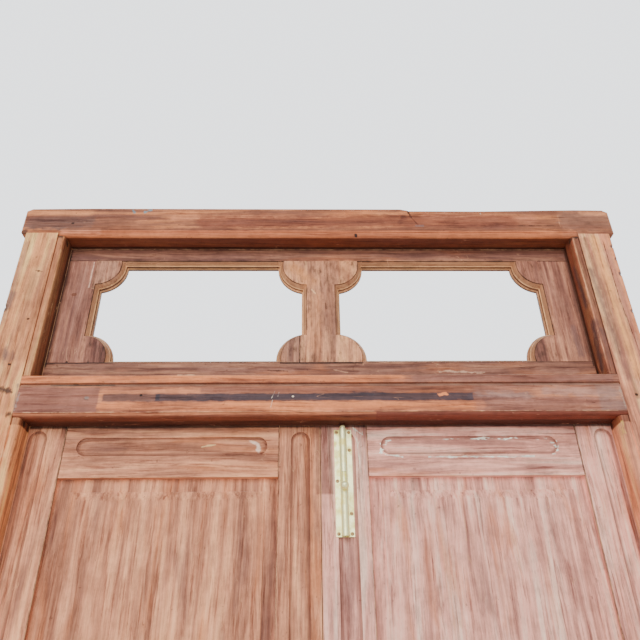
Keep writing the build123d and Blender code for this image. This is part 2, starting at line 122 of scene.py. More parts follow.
def soft_lamp(name, size, place, target, power, colour):
    lamp_data = bpy.data.lights.new(name, "AREA")
    lamp_data.shape = "RECTANGLE"
    lamp_data.size, lamp_data.size_y = size
    lamp_data.energy = power
    lamp_data.color = colour
    lamp = bpy.data.objects.new(name, lamp_data)
    bpy.context.scene.collection.objects.link(lamp)
    lamp.location = place
    lamp.rotation_euler = (Vector(target) - Vector(place)).to_track_quat("-Z", "Y").to_euler()
    print(name, "at", place)

soft_lamp("high_lamp", size=(4.0, 3.0), place=(-0.8, -4.0, 2.9), target=(0, 0, 1.7), power=160,
          colour=(1.0, 0.98, 0.95))
soft_lamp("back_lamp", size=(3.0, 2.0), place=(0.5, 3.4, 4.0), target=(0, 0, 1.2), power=80,
          colour=(0.95, 0.97, 1.0))

# %% [markdown]
# Node work repeats the same few moves, so each gets a short helper: add a node and fill its
# sockets, do a sum, take a scaled mask away from a value, mix two colours or dim one, ease a
# value from one range into another, draw a noise, push a place aside, or start a node group.
# Colours are written as on a paint chart, 0 to 255, and turned into the linear values that the
# shader wants. The view softens strong colours and holds back bright ones, as film does, so the
# chart makes up for it: it dims dark values by the view's shares and lifts bright ones.

# %% Helpers for nodes
def add(tree, kind, inputs=None, **settings):
    made = tree.nodes.new(kind)
    for name, value in settings.items():
        setattr(made, name, value)
    for place, value in (inputs or {}).items():
        if isinstance(value, bpy.types.NodeSocket):
            tree.links.new(value, made.inputs[place])
        else:
            made.inputs[place].default_value = value
    return made

def sum_of(tree, operation, first, second=0.5, third=0.5, clamp=False):
    return add(tree, "ShaderNodeMath", {0: first, 1: second, 2: third}, operation=operation,
               use_clamp=clamp).outputs[0]

def scaled(tree, first, second):
    return sum_of(tree, "MULTIPLY", first, second)

def less(tree, value, mask, depth):
    return sum_of(tree, "SUBTRACT", value, scaled(tree, mask, depth))

def vector_sum(tree, operation, first, second):
    return add(tree, "ShaderNodeVectorMath", {0: first, 1: second}, operation=operation).outputs[0]

view_shares = (0.82, 0.84, 0.80)

def chart(red, green, blue):
    plain = [((v / 255 + 0.055) / 1.055) ** 2.4 for v in (red, green, blue)]
    return tuple(min(1.0, v * (share + v * v)) for v, share in zip(plain, view_shares)) + (1.0,)

def mixed(tree, factor, first, second, blend="MIX"):
    return add(tree, "ShaderNodeMix", {0: factor, 6: first, 7: second}, data_type="RGBA",
               blend_type=blend).outputs[2]

def dimmed(tree, colour, red, green, blue):
    share = add(tree, "ShaderNodeCombineColor", {0: red, 1: green, 2: blue}).outputs[0]
    return mixed(tree, 1.0, colour, share, "MULTIPLY")

def eased(tree, value, start, end, low=0.0, high=1.0):
    return add(tree, "ShaderNodeMapRange", {0: value, 1: start, 2: end, 3: low, 4: high},
               interpolation_type="SMOOTHSTEP").outputs[0]

def cloud(tree, place, scale=1.0, detail=3.0, rough=0.5, twist=0.0):
    return add(tree, "ShaderNodeTexNoise", {"Vector": place, "Scale": scale, "Detail": detail,
               "Roughness": rough, "Distortion": twist}).outputs[0]

def drawn_out(tree, place, along, across, **look):
    return cloud(tree, vector_sum(tree, "MULTIPLY", place, (along, across, across)), **look)

def moved(tree, push, reach, place):
    return add(tree, "ShaderNodeVectorMath", {0: push, 1: reach, 2: place},
               operation="MULTIPLY_ADD").outputs[0]

def effect(name, inputs, outputs):
    tree = bpy.data.node_groups.new(name, "ShaderNodeTree")
    for label, kind, value in inputs:
        socket = tree.interface.new_socket(name=label, in_out="INPUT", socket_type=kind)
        if value is not None:
            socket.default_value = value
    for label in outputs:
        tree.interface.new_socket(name=label, in_out="OUTPUT", socket_type="NodeSocketFloat")
    return tree, tree.nodes.new("NodeGroupInput"), tree.nodes.new("NodeGroupOutput")

NUMBER, PLACE = "NodeSocketFloat", "NodeSocketVector"
print("walnut on the chart", [round(v, 3) for v in chart(120, 80, 60)])

# %% [markdown]
# Timber has grain at five scales: broad soft streaks of heartwood, the contour lines that a
# saw cuts through the rings, dark drawn-out lines, fine fibres, and pores like short pen
# strokes. All are noise that is stretched along X. The contour lines come from the sine of a
# slow noise, which draws the noise as a map draws hills, and that is just how rings look on a
# plank. A slow noise first pushes the whole pattern about a little, since no tree grows
# straight. Each scale has two numbers: its waves to a metre along the grain and across it.

# %% Grain
seed_step, sway, ring_lines = (3.1, 7.3, 5.7), (0.05, 0.016, 0.016), 70.0

grain, put, give = effect("grain", [("Place", PLACE, None), ("Seed", NUMBER, 0.0)],
                          ["Streaks", "Rings", "Lines", "Fibres", "Pores"])
seeded = moved(grain, put.outputs["Seed"], seed_step, put.outputs["Place"])
slow = vector_sum(grain, "MULTIPLY", seeded, (3.0, 9, 9))
wander = add(grain, "ShaderNodeTexNoise", {"Vector": slow, "Scale": 1.0, "Detail": 3.0}).outputs["Color"]
shifted = moved(grain, wander, sway, seeded)
broad = drawn_out(grain, shifted, along=2.6, across=44, detail=9, rough=0.68, twist=0.4)
hills = drawn_out(grain, shifted, along=1.3, across=13, detail=1.5, rough=0.4, twist=0.3)
rings = sum_of(grain, "SINE", scaled(grain, hills, ring_lines))
lines = drawn_out(grain, shifted, along=7, across=150, detail=7, rough=0.76, twist=0.3)
fibres = drawn_out(grain, shifted, along=16, across=460, detail=4, rough=0.6)
pores = drawn_out(grain, shifted, along=48, across=1300, detail=2, rough=0.5)
grain.links.new(eased(grain, broad, 0.28, 0.72), give.inputs["Streaks"])
grain.links.new(sum_of(grain, "MULTIPLY_ADD", rings, 0.5), give.inputs["Rings"])
grain.links.new(eased(grain, lines, 0.5, 0.68), give.inputs["Lines"])
grain.links.new(eased(grain, fibres, 0.3, 0.7), give.inputs["Fibres"])
grain.links.new(eased(grain, pores, 0.64, 0.74), give.inputs["Pores"])
print("grain gives", [s.name for s in give.inputs if s.name])

# %% [markdown]
# Hands, carts and weather rub the outer edges of each timber. A point is near an edge when two
# of its three distances to the sides of the timber are small, so the middle one of the three
# measures that, and a noise breaks the line so that it never looks drawn.

# %% Rubbed edges
rubbed, put, give = effect("rubbed_edges", [("Place", PLACE, None), ("Low", PLACE, None),
                           ("High", PLACE, None), ("Width", NUMBER, 0.004)], ["Wear"])
inside = vector_sum(rubbed, "MINIMUM",
                    vector_sum(rubbed, "SUBTRACT", put.outputs["Place"], put.outputs["Low"]),
                    vector_sum(rubbed, "SUBTRACT", put.outputs["High"], put.outputs["Place"]))
gaps = add(rubbed, "ShaderNodeSeparateXYZ", {0: inside})
least = sum_of(rubbed, "MINIMUM", gaps.outputs[0], gaps.outputs[1])
most = sum_of(rubbed, "MAXIMUM", gaps.outputs[0], gaps.outputs[1])
middle = sum_of(rubbed, "MAXIMUM", least, sum_of(rubbed, "MINIMUM", most, gaps.outputs[2]))
broken = cloud(rubbed, put.outputs["Place"], scale=55, detail=5, rough=0.65)
reach = scaled(rubbed, put.outputs["Width"], eased(rubbed, broken, 0.35, 0.75, 0.15, 1.8))
worn = sum_of(rubbed, "DIVIDE", middle, reach)
rubbed.links.new(eased(rubbed, worn, 0.35, 1.0, 1.0, 0.0), give.inputs["Wear"])

# %% [markdown]
# Nothing outdoors stays free of knocks. Small dents hold dirt and read dark; scratches cut to
# fresh wood and read pale. Dents are the peaks of a fine noise. A scratch is the narrow line
# where a long drawn noise passes through its middle value, and a second noise lets only a few
# of those lines show.

# %% Knocks
knocks, put, give = effect("knocks", [("Place", PLACE, None), ("Seed", NUMBER, 0.0)],
                           ["Dents", "Scratches"])
shifted = moved(knocks, put.outputs["Seed"], (2.3, 4.1, 1.9), put.outputs["Place"])
peaks = cloud(knocks, vector_sum(knocks, "MULTIPLY", shifted, (90, 90, 110)), detail=3, rough=0.55)
knocks.links.new(eased(knocks, peaks, 0.68, 0.74), give.inputs["Dents"])
drawn = drawn_out(knocks, shifted, along=14, across=60, detail=1, twist=0.6)
off_middle = sum_of(knocks, "ABSOLUTE", sum_of(knocks, "SUBTRACT", drawn, 0.5))
line = eased(knocks, off_middle, 0.002, 0.012, 1.0, 0.0)
few = eased(knocks, cloud(knocks, shifted, scale=24, detail=3), 0.56, 0.66)
knocks.links.new(scaled(knocks, line, few), give.inputs["Scratches"])
print("knocks gives", [s.name for s in give.inputs if s.name])

# %% [markdown]
# Two more effects place a listed mark. A stroke is everything near a line from one point to
# another: short and fat it is a knot or a smudge, long and thin a crack or a scratch. Its edge
# is torn by a noise that runs with the grain, as a real stain creeps along the fibres.

# %% Strokes
stroke, put, give = effect("stroke", [("Place", PLACE, None), ("Laid", PLACE, None), ("From", PLACE, None),
                           ("To", PLACE, None), ("Radius", NUMBER, 0.002), ("Soft", NUMBER, 0.001),
                           ("Ragged", NUMBER, 0.3)], ["Mark"])
way = vector_sum(stroke, "SUBTRACT", put.outputs["To"], put.outputs["From"])
here = vector_sum(stroke, "SUBTRACT", put.outputs["Place"], put.outputs["From"])
length = add(stroke, "ShaderNodeVectorMath", {0: way, 1: way}, operation="DOT_PRODUCT").outputs["Value"]
along = add(stroke, "ShaderNodeVectorMath", {0: here, 1: way}, operation="DOT_PRODUCT").outputs["Value"]
share = sum_of(stroke, "DIVIDE", along, length, clamp=True)
foot = add(stroke, "ShaderNodeVectorMath", {0: way, 3: share}, operation="SCALE").outputs[0]
away = add(stroke, "ShaderNodeVectorMath", {0: here, 1: foot}, operation="DISTANCE").outputs["Value"]
tear = drawn_out(stroke, put.outputs["Laid"], along=60, across=170, detail=4, rough=0.6)
shift = scaled(stroke, sum_of(stroke, "SUBTRACT", tear, 0.5),
               scaled(stroke, put.outputs["Ragged"], put.outputs["Radius"]))
away = sum_of(stroke, "ADD", away, scaled(stroke, shift, 4.0))
gap = sum_of(stroke, "SUBTRACT", away, put.outputs["Radius"])
edge_way = sum_of(stroke, "DIVIDE", gap, put.outputs["Soft"])
stroke.links.new(eased(stroke, edge_way, -1.0, 1.0, 1.0, 0.0), give.inputs["Mark"])
print("a stroke has", [s.name for s in put.outputs if s.name])

# %% [markdown]
# A zone is a box with soft sides, for a stained end, a moulding's own colour, and painted light and shade on
# mouldings, undersides and reveals.
# The least of the six distances to its sides says how far inside a point is.

# %% Zones
zone, put, give = effect("zone", [("Place", PLACE, None), ("Laid", PLACE, None), ("Low", PLACE, None),
                         ("High", PLACE, None), ("Soft", NUMBER, 0.001), ("Ragged", NUMBER, 0.0)], ["Mark"])
inside = vector_sum(zone, "MINIMUM",
                    vector_sum(zone, "SUBTRACT", put.outputs["Place"], put.outputs["Low"]),
                    vector_sum(zone, "SUBTRACT", put.outputs["High"], put.outputs["Place"]))
gaps = add(zone, "ShaderNodeSeparateXYZ", {0: inside})
least = sum_of(zone, "MINIMUM", gaps.outputs[0], gaps.outputs[1])
least = sum_of(zone, "MINIMUM", least, gaps.outputs[2])
tear = drawn_out(zone, put.outputs["Laid"], along=50, across=150, detail=4, rough=0.6)
torn = scaled(zone, sum_of(zone, "SUBTRACT", tear, 0.5), put.outputs["Ragged"])
least = sum_of(zone, "ADD", least, torn)
edge_way = sum_of(zone, "DIVIDE", least, put.outputs["Soft"])
zone.links.new(eased(zone, edge_way, -1.0, 1.0), give.inputs["Mark"])
print("a zone has", [s.name for s in put.outputs if s.name])

# %% [markdown]
# One recipe makes all the woods. Streaks choose between a deep, a middle and a light tone, and a
# broad drift warms some of them and cools others. The marks of that timber are laid over them;
# rings, fibres, lines and pores then darken the result, so a stain still shows its grain. Grime
# gathers in blotches, knocks and rubbed edges are added, and a thin film of dust settles on what
# faces up. Roughness and bump follow the same masks.
#
# Each mark is one row: its kind, from where, to where, its radius, softness and raggedness, its
# colour and its strength. Lengths are in millimetres. A stain is a stroke that the streaks
# break up, a hole is a stroke that also sinks the surface, and a zone has no radius.

# %% The recipe for old wood
grime_tone, dirt_tone, dust_tone = (92, 62, 55), (64, 40, 34), (214, 200, 186)
brightest, fibre_depth, pore_depth, reddening = 1.3, 0.22, 0.3, 1.25
wear_share, hollow_depth = 0.55, 3.0

def old_wood(name, piece, runs, tones, marks=(), seed=0.0, edge=(214, 176, 140), edge_width=0.003,
             warm=(196, 126, 78), cool=(118, 76, 74), dust=0.25, grime=0.3, rings_depth=0.16,
             line_depth=0.6, knocked=0.35, rough=0.5):
    finish = bpy.data.materials.new(name)
    finish.use_nodes = True
    tree = finish.node_tree
    surface = tree.nodes["Principled BSDF"]
    place = add(tree, "ShaderNodeTexCoord").outputs["Object"]
    parts = add(tree, "ShaderNodeSeparateXYZ", {0: place})
    if runs == "across":
        laid = place
    else:
        laid = add(tree, "ShaderNodeCombineXYZ", {0: parts.outputs[2], 1: parts.outputs[1],
                                                 2: parts.outputs[0]}).outputs[0]
    wood = add(tree, "ShaderNodeGroup", node_tree=grain)
    tree.links.new(laid, wood.inputs["Place"])
    wood.inputs["Seed"].default_value = seed
    ramp = add(tree, "ShaderNodeValToRGB", {0: wood.outputs["Streaks"]})
    ramp.color_ramp.elements[0].color = chart(*tones[0])
    ramp.color_ramp.elements[1].color = chart(*tones[2])
    ramp.color_ramp.elements.new(0.5).color = chart(*tones[1])
    colour = ramp.outputs[0]
    drift = drawn_out(tree, laid, along=4, across=26, detail=6, rough=0.6, twist=0.5)
    colour = mixed(tree, eased(tree, drift, 0.52, 0.72, 0.0, 0.55), colour, chart(*warm))
    colour = mixed(tree, eased(tree, drift, 0.48, 0.3, 0.0, 0.5), colour, chart(*cool))
    hollow = None
    for kind, first, second, size, soft, ragged, tint, strength in marks:
        mark = add(tree, "ShaderNodeGroup", node_tree=zone if kind == "zone" else stroke)
        tree.links.new(place, mark.inputs["Place"])
        tree.links.new(laid, mark.inputs["Laid"])
        if kind == "zone":
            low, high = [Vector(map(pick, first, second)) for pick in (min, max)]
            mark.inputs["Low"].default_value, mark.inputs["High"].default_value = low, high
        else:
            mark.inputs["From"].default_value, mark.inputs["To"].default_value = first, second
            mark.inputs["Radius"].default_value = size / 1000
        mark.inputs["Soft"].default_value = soft / 1000
        mark.inputs["Ragged"].default_value = ragged / 1000 if kind == "zone" else ragged
        amount = scaled(tree, mark.outputs[0], strength)
        if kind == "stain":
            amount = scaled(tree, amount, eased(tree, wood.outputs["Streaks"], 0.1, 0.6, 0.35, 1.0))
        colour = mixed(tree, amount, colour, chart(*tint))
        if kind == "hole":
            deeper = mark.outputs[0]
            hollow = deeper if hollow is None else sum_of(tree, "MAXIMUM", hollow, deeper)
    lines = sum_of(tree, "MULTIPLY_ADD", wood.outputs["Fibres"], fibre_depth,
                   scaled(tree, wood.outputs["Rings"], rings_depth))
    shade = sum_of(tree, "SUBTRACT", brightest, lines)
    shade = less(tree, shade, wood.outputs["Lines"], line_depth)
    shade = less(tree, shade, wood.outputs["Pores"], pore_depth)
    redder = sum_of(tree, "POWER", shade, reddening)
    colour = dimmed(tree, colour, shade, redder, redder)
    mottle = eased(tree, cloud(tree, place, scale=42, detail=7, rough=0.7), 0.3, 0.7, 0.86, 1.12)
    colour = dimmed(tree, colour, mottle, mottle, mottle)
    blotch = eased(tree, cloud(tree, place, scale=11, detail=6, rough=0.65, twist=0.4), 0.5, 0.78)
    colour = mixed(tree, scaled(tree, blotch, grime), colour, chart(*grime_tone))
    hits = add(tree, "ShaderNodeGroup", node_tree=knocks)
    tree.links.new(laid, hits.inputs["Place"])
    hits.inputs["Seed"].default_value = seed
    colour = mixed(tree, scaled(tree, hits.outputs["Dents"], knocked), colour, chart(*dirt_tone))
    colour = mixed(tree, scaled(tree, hits.outputs["Scratches"], knocked), colour, chart(*edge))
    wear = add(tree, "ShaderNodeGroup", node_tree=rubbed)
    tree.links.new(place, wear.inputs["Place"])
    low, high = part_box(piece)
    wear.inputs["Low"].default_value, wear.inputs["High"].default_value = low, high
    wear.inputs["Width"].default_value = edge_width
    colour = mixed(tree, scaled(tree, wear.outputs[0], wear_share), colour, chart(*edge))
    normal = add(tree, "ShaderNodeNewGeometry").outputs["Normal"]
    upward = add(tree, "ShaderNodeSeparateXYZ", {0: normal}).outputs[2]
    film = scaled(tree, eased(tree, upward, 0.2, 0.9),
                  eased(tree, cloud(tree, place, scale=30, detail=5), 0.3, 0.7, 0.35, 1.0))
    colour = mixed(tree, scaled(tree, film, dust), colour, chart(*dust_tone))
    tree.links.new(colour, surface.inputs["Base Color"])
    dull = sum_of(tree, "MULTIPLY_ADD", wood.outputs["Fibres"], 0.12, rough)
    dull = sum_of(tree, "ADD", dull, scaled(tree, wear.outputs[0], 0.12))
    dull = sum_of(tree, "ADD", dull, scaled(tree, film, 0.2), clamp=True)
    tree.links.new(dull, surface.inputs["Roughness"])
    height = scaled(tree, wood.outputs["Fibres"], -0.35)
    for mask, depth in ((wood.outputs["Pores"], 0.5), (wood.outputs["Lines"], 0.5),
                        (wear.outputs[0], 0.4), (hits.outputs["Dents"], 1.2)):
        height = less(tree, height, mask, depth)
    if hollow is not None:
        height = less(tree, height, hollow, hollow_depth)
    relief = add(tree, "ShaderNodeBump", {"Height": height, "Strength": 0.7, "Distance": 0.0006})
    tree.links.new(relief.outputs[0], surface.inputs["Normal"])
    surface.inputs["Specular IOR Level"].default_value = 0.22
    return finish

def give_finish(piece, finish):
    slots = nodes[piece].data.materials
    if len(slots):
        for place in range(len(slots)):
            slots[place] = finish
    else:
        slots.append(finish)

def timber(piece, runs, tones, marks=(), name=None, **looks):
    give_finish(piece, old_wood(name or piece + "_wood", piece, runs, tones, marks, **looks))

print("old wood reads", [g.name for g in bpy.data.node_groups])

# %% [markdown]
# The lintel is the reddest timber, with an orange band at its upper left, a grey-brown smudge
# below it, flecks of old blue paint, a long shake along its lower edge and a short split that
# runs down from the top. Its moulding band is a bright tan that runs onto its round as a painted
# highlight, and the underside is painted dark red as shade, with a painted shadow along its back.

# %% Lintel
lintel_marks = [
    ("stain", spot(-655, 9), spot(-520, 12), 9, 6, 0.5, (205, 146, 100), 0.7),
    ("stain", spot(-330, 27), spot(-60, 24), 6, 6, 0.6, (202, 142, 104), 0.7),
    ("stain", spot(240, 22), spot(480, 30), 11, 8, 0.6, (196, 134, 102), 0.6),
    ("stain", spot(-640, 43), spot(-520, 40), 17, 7, 0.5, (112, 84, 80), 0.8),
    ("stain", spot(-500, 40), spot(-420, 34), 8, 7, 0.6, (128, 80, 66), 0.6),
    ("stain", spot(565, 30), spot(640, 34), 24, 8, 0.5, (118, 88, 80), 0.7),
    ("stain", spot(560, 14), spot(610, 40), 5, 4, 0.8, (84, 58, 54), 0.6),
    ("stain", spot(600, 9), spot(652, 12), 6, 4, 0.5, (214, 158, 114), 0.8),
    ("stroke", spot(543, 18), spot(543, 50), 0.8, 1, 1.4, (200, 150, 114), 0.65),
    # Painted highlight: the band's bright tan reaches onto its round, where light falls.
    ("zone", spot(-575, 61.5, -2), spot(575, 79, 7), 0, 2.0, 3, (196, 124, 82), 0.7),
    ("stain", spot(-570, 66, 1), spot(-490, 66, 1), 4, 5, 0.8, (224, 172, 142), 0.6),
    # Painted shade: the underside dark red, and a darker painted shadow along its back.
    ("zone", spot(-600, 74, 8), spot(600, 84, 45), 0, 2.0, 3, (114, 55, 37), 0.88),
    ("zone", spot(-600, 76, 40), spot(600, 84, 47), 0, 2.5, 3, (52, 27, 20), 0.85),
    ("stroke", spot(40, 47), spot(220, 46.5), 0.5, 0.7, 2.0, (70, 34, 26), 0.9),
    ("stroke", spot(220, 46.5), spot(543, 47.5), 0.8, 0.8, 2.0, (62, 32, 26), 0.9),
    ("stain", spot(-300, 49), spot(40, 46), 1.5, 2, 1.5, (112, 64, 50), 0.6),
    ("hole", spot(199, 3), spot(207, 24), 1.4, 1.2, 1.4, (34, 22, 20), 0.95),
    ("hole", spot(207, 24), spot(221, 46), 1.0, 1.0, 1.4, (40, 26, 22), 0.95),
    ("stain", spot(180, 36), spot(190, 24), 6, 4, 1.0, (58, 40, 40), 0.85),
    ("stroke", spot(216, 47), spot(232, 48), 2.4, 1.4, 1.0, (122, 128, 134), 0.8),
    ("stroke", spot(-424, 5), spot(-419, 12), 2.8, 1.4, 1.2, (120, 136, 144), 0.8),
    ("stroke", spot(-396, 9), spot(-384, 3), 3.4, 1.4, 1.2, (126, 144, 152), 0.85),
    ("stroke", spot(-500, 4), spot(-470, 6), 1.2, 1, 1.2, (84, 52, 44), 0.6),
    ("stroke", spot(-30, 4), spot(60, 5), 1.6, 2, 1.2, (96, 60, 48), 0.6),
    ("hole", spot(78.5, 73, 2), spot(79.5, 75.5, 3), 3.0, 1, 0.5, (40, 34, 38), 0.95),
    ("hole", spot(-552.7, 42.4), spot(-551, 42.4), 2.2, 1, 0.4, (48, 30, 26), 0.9),
    ("hole", spot(366, 12), spot(367, 13), 1.6, 1, 0.4, (206, 180, 160), 0.8),
    ("stroke", spot(-662, 69), spot(-652, 66), 5, 3, 0.6, (70, 46, 42), 0.8),
    ("stroke", spot(582, 77.5), spot(662, 77.5), 1.6, 1, 0.6, (44, 28, 26), 0.85),
    ("stroke", spot(-662, 77.5), spot(-582, 77.5), 1.6, 1, 0.6, (44, 28, 26), 0.85),
    ("stroke", spot(590, 62), spot(658, 60), 0.9, 1, 0.8, (78, 50, 42), 0.7),
    ("zone", spot(545, -2, -2), spot(665, 80, 3), 0, 6, 10, (178, 124, 98), 0.4),
    # Painted shade in the quirk above the band.
    ("stroke", spot(-578, 60.5), spot(578, 60.5), 0.9, 0.8, 0.6, (112, 66, 48), 0.6),
    ("stain", spot(-260, 38), spot(430, 36), 18, 9, 0.5, (140, 76, 56), 0.75),
    ("stain", spot(-560, 58), spot(560, 58), 3, 2.5, 0.8, (140, 84, 62), 0.5),
]
timber("lintel", "across", [(106, 58, 46), (160, 103, 76), (212, 150, 100)], lintel_marks, seed=1.0,
       edge=(196, 146, 116), dust=0.35, grime=0.25)
print("marks on the lintel", len(lintel_marks))

# %% [markdown]
# The jambs are the palest timber, sun-bleached to a straw tan. Their grain stands upright. The
# left one has soft brown streaks and grey smudges at its outer edge, the right one a straw
# streak down the middle between mauve ones, and a drying crack beside it.

# %% Jambs
left_marks = [
    ("stain", spot(-586, 90), spot(-596, 500), 4, 4, 0.6, (176, 118, 88), 0.7),
    ("stain", spot(-601.7, 235), spot(-608, 320), 2.4, 2.5, 0.8, (150, 98, 76), 0.75),
    ("stain", spot(-618, 320), spot(-622, 420), 3, 3, 0.8, (158, 108, 86), 0.7),
    ("stain", spot(-640, 100), spot(-646, 300), 6, 5, 0.6, (178, 128, 100), 0.6),
    ("stain", spot(-640, 232), spot(-642, 260), 8, 5, 0.7, (136, 98, 92), 0.7),
    ("stain", spot(-628, 372), spot(-612, 380), 11, 6, 0.7, (126, 90, 86), 0.75),
    ("stain", spot(-604, 170), spot(-608, 240), 8, 8, 0.5, (232, 186, 136), 0.6),
    ("stain", spot(-626, 410), spot(-636, 560), 12, 8, 0.5, (232, 186, 136), 0.6),
    ("zone", spot(-578.8, 60, -2), spot(-566, 520, 4), 0, 1.2, 2, (176, 118, 84), 0.7),
    # Painted shade in the quirk beside the band.
    ("stroke", spot(-577.4, 60, 1), spot(-577.4, 520, 1), 1.2, 0.8, 0.5, (118, 66, 48), 0.7),
    # Painted shade: the reveal dark red, with a darker painted shadow at its back.
    ("zone", spot(-566.5, 60, 2), spot(-555, 520, 44), 0, 1.6, 2, (108, 54, 38), 0.85),
    # A pale line on the reveal's rear arris: partly wear, partly a painted highlight where light catches it.
    ("stroke", spot(-561, 84, 45.6), spot(-561, 418, 45.6), 1.2, 0.8, 0.8, (228, 196, 168), 0.75),
    ("zone", spot(-567, 60, 32), spot(-555, 520, 44), 0, 3.0, 3, (64, 36, 28), 0.75),
    # Darker in the corners where the reveal meets the lintel and the transom: partly painted shade, partly
    # grime.
    ("stroke", spot(-574, 76, 0), spot(-558, 90, 18), 4.5, 2.5, 0.8, (50, 32, 26), 0.85),
    ("stroke", spot(-584, 500, 0), spot(-560, 512, 20), 5, 3, 0.8, (46, 30, 26), 0.85),
    ("hole", spot(-599.6, 173.4), spot(-599, 173.4), 2.2, 1, 0.4, (44, 28, 24), 0.9),
    ("stroke", spot(-606, 172), spot(-592, 175), 1.0, 1, 1.0, (120, 76, 58), 0.7),
    ("hole", spot(-595.7, 292.4), spot(-595, 292.4), 2.2, 1, 0.4, (44, 28, 24), 0.9),
    ("hole", spot(-609.2, 396.2), spot(-608, 396.2), 2.6, 1, 0.4, (48, 30, 28), 0.9),
    ("stain", spot(-610, 448), spot(-600, 452), 6, 3, 0.9, (74, 48, 40), 0.9),
    ("stroke", spot(-618, 446), spot(-590, 456), 1.6, 1.5, 1.2, (90, 60, 48), 0.8),
    ("stroke", spot(-582, 440), spot(-577, 500), 2.0, 2, 1.4, (104, 96, 98), 0.6),
    ("stroke", spot(-650, 262), spot(-648, 270), 5, 2, 0.6, (86, 68, 64), 0.8),
]
right_marks = [
    ("stain", spot(612, 84), spot(624, 560), 9, 8, 0.5, (240, 174, 112), 0.75),
    ("stain", spot(592, 84), spot(606, 470), 5, 4, 0.6, (150, 92, 76), 0.7),
    ("stain", spot(584, 170), spot(598, 430), 5, 8, 0.4, (112, 80, 82), 0.75),
    ("stain", spot(632, 120), spot(640, 520), 7, 5, 0.6, (178, 122, 106), 0.7),
    ("stain", spot(646, 84), spot(648, 520), 4, 3, 0.5, (222, 162, 118), 0.7),
    ("stain", spot(622, 440), spot(636, 560), 9, 8, 0.7, (212, 178, 166), 0.6),
    ("zone", spot(566, 60, -2), spot(578.8, 520, 4), 0, 1.2, 2, (132, 78, 60), 0.85),
    # Painted shade in the quirk beside the band.
    ("stroke", spot(577.4, 60, 1), spot(577.4, 520, 1), 1.3, 0.8, 0.5, (96, 56, 46), 0.8),
    # Painted shade: the reveal dark red, with a darker painted shadow at its back.
    ("zone", spot(555, 60, 2), spot(566.5, 520, 44), 0, 1.6, 2, (126, 58, 38), 0.85),
    ("zone", spot(555, 60, 36), spot(567, 520, 48), 0, 3.0, 3, (58, 32, 26), 0.85),
    ("stain", spot(562, 150, 24), spot(562, 250, 14), 7, 7, 0.6, (84, 60, 66), 0.7),
    ("stain", spot(563, 300, 8), spot(562, 400, 20), 8, 7, 0.6, (78, 56, 64), 0.75),
    ("stain", spot(572, 320, 0), spot(572, 400, 0), 5, 5, 0.6, (110, 78, 78), 0.6),
    # Darker in the corners where the reveal meets the lintel and the transom: partly painted shade, partly
    # grime.
    ("stroke", spot(572, 76, 0), spot(558, 86, 16), 4.5, 2.5, 0.8, (54, 34, 28), 0.85),
    ("stroke", spot(560, 400, 40), spot(564, 425, 44), 6, 3, 0.8, (48, 30, 26), 0.85),
    ("hole", spot(630.7, 87.8), spot(628.3, 247.7), 0.5, 0.6, 2.0, (92, 56, 46), 0.85),
    ("hole", spot(628.3, 247.7), spot(636.7, 372.1), 0.5, 0.6, 2.0, (92, 56, 46), 0.85),
    ("hole", spot(604.4, 465.1), spot(605, 465.1), 2.4, 1, 0.4, (40, 28, 26), 0.9),
    ("stroke", spot(650, 106), spot(648, 106), 5, 2, 0.5, (84, 76, 84), 0.85),
    ("stroke", spot(650, 140), spot(648, 140), 4, 2, 0.5, (92, 80, 84), 0.8),
    ("stroke", spot(650, 181), spot(648, 181), 5.5, 2, 0.5, (80, 74, 84), 0.85),
    ("stroke", spot(650, 275), spot(648, 275), 4.5, 2, 0.5, (96, 84, 88), 0.8),
    ("stroke", spot(561, 520, 2), spot(561, 540, 5), 3, 2, 1.5, (226, 200, 120), 0.7),
]
tan = [(164, 108, 74), (210, 156, 110), (240, 194, 138)]
timber("left_jamb", "up", tan, left_marks, seed=2.0, edge=(232, 196, 160), dust=0.2, grime=0.18,
       rings_depth=0.12)
timber("right_jamb", "up", [(164, 108, 86), (210, 154, 122), (240, 194, 150)], right_marks, seed=5.0,
       edge=(228, 186, 150), dust=0.2, grime=0.18, rings_depth=0.14)
print("marks on the jambs", len(left_marks), len(right_marks))

# %% [markdown]
# The transom rail carries most of the door's history: a blue-black stain where a metal strip
# once lay, a plain worn patch at its left end, a slot in the groove, pale chips along the
# moulding's edge, and a greyer, rubbed right half.

